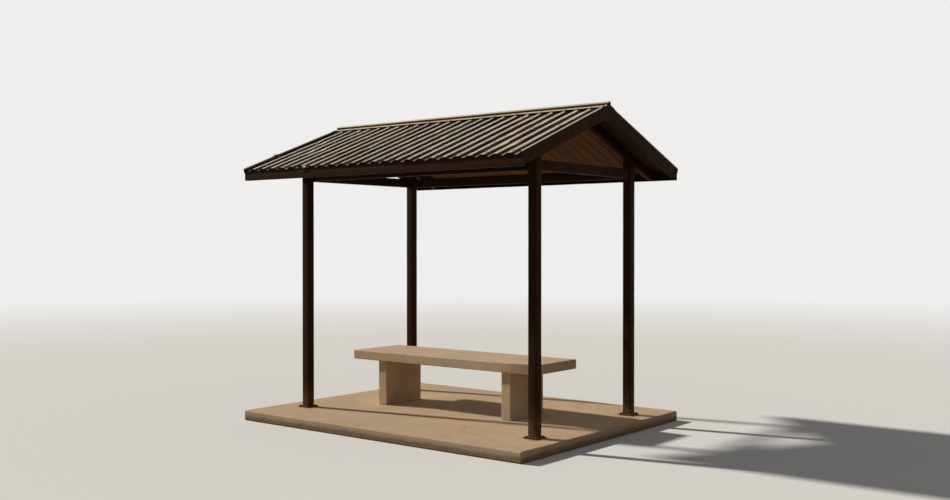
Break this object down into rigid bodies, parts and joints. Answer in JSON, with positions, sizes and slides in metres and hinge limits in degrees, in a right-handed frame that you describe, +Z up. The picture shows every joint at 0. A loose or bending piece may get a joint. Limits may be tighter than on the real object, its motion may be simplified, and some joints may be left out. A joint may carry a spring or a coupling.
{
  "type": "bus shelter",
  "caption": "Open bus shelter on a concrete pad: square steel posts, a low gable roof of corrugated sheet over timber boards and a concrete bench.",
  "frame": {"origin": "centre of the pad's underside", "axes": "+X along the ridge towards the right gable, +Y from the front to the back, +Z up"},
  "size_m": [3.428, 2.6454, 3.0286],
  "materials": {
    "pad_concrete": "broom-swept concrete, warm sandy grey",
    "bench_concrete": "cast concrete, worn smooth",
    "frame_steel": "dark brown paint, faded and chalky",
    "plate_steel": "dark brown paint, rusty edges",
    "deck_timber": "stained boards, matt",
    "roof_metal": "weathered galvanised sheet, dull",
    "trim_metal": "weathered folded sheet, dull"
  },
  "bodies": {
    "root": {"pad": "pad_concrete", "post_front_left": "frame_steel", "post_front_right": "frame_steel", "post_back_left": "frame_steel", "post_back_right": "frame_steel", "base_plate_front_left": "plate_steel", "base_plate_front_right": "plate_steel", "base_plate_back_left": "plate_steel", "base_plate_back_right": "plate_steel", "eave_beam_front": "frame_steel", "eave_beam_back": "frame_steel", "tie_beam_left": "frame_steel", "tie_beam_right": "frame_steel", "rafter_front_left": "frame_steel", "rafter_front_right": "frame_steel", "rafter_back_left": "frame_steel", "rafter_back_right": "frame_steel", "ridge_beam": "frame_steel", "deck_front": "deck_timber", "deck_back": "deck_timber", "fascia_front": "frame_steel", "fascia_back": "frame_steel", "barge_front_left": "frame_steel", "barge_front_right": "frame_steel", "barge_back_left": "frame_steel", "barge_back_right": "frame_steel", "roof_sheet_front": "roof_metal", "roof_sheet_back": "roof_metal", "rake_trim_front_left": "frame_steel", "rake_trim_front_right": "frame_steel", "rake_trim_back_left": "frame_steel", "rake_trim_back_right": "frame_steel", "ridge_cap": "trim_metal", "bench_seat": "bench_concrete", "bench_leg_left": "bench_concrete", "bench_leg_right": "bench_concrete"}
  },
  "joints": []
}
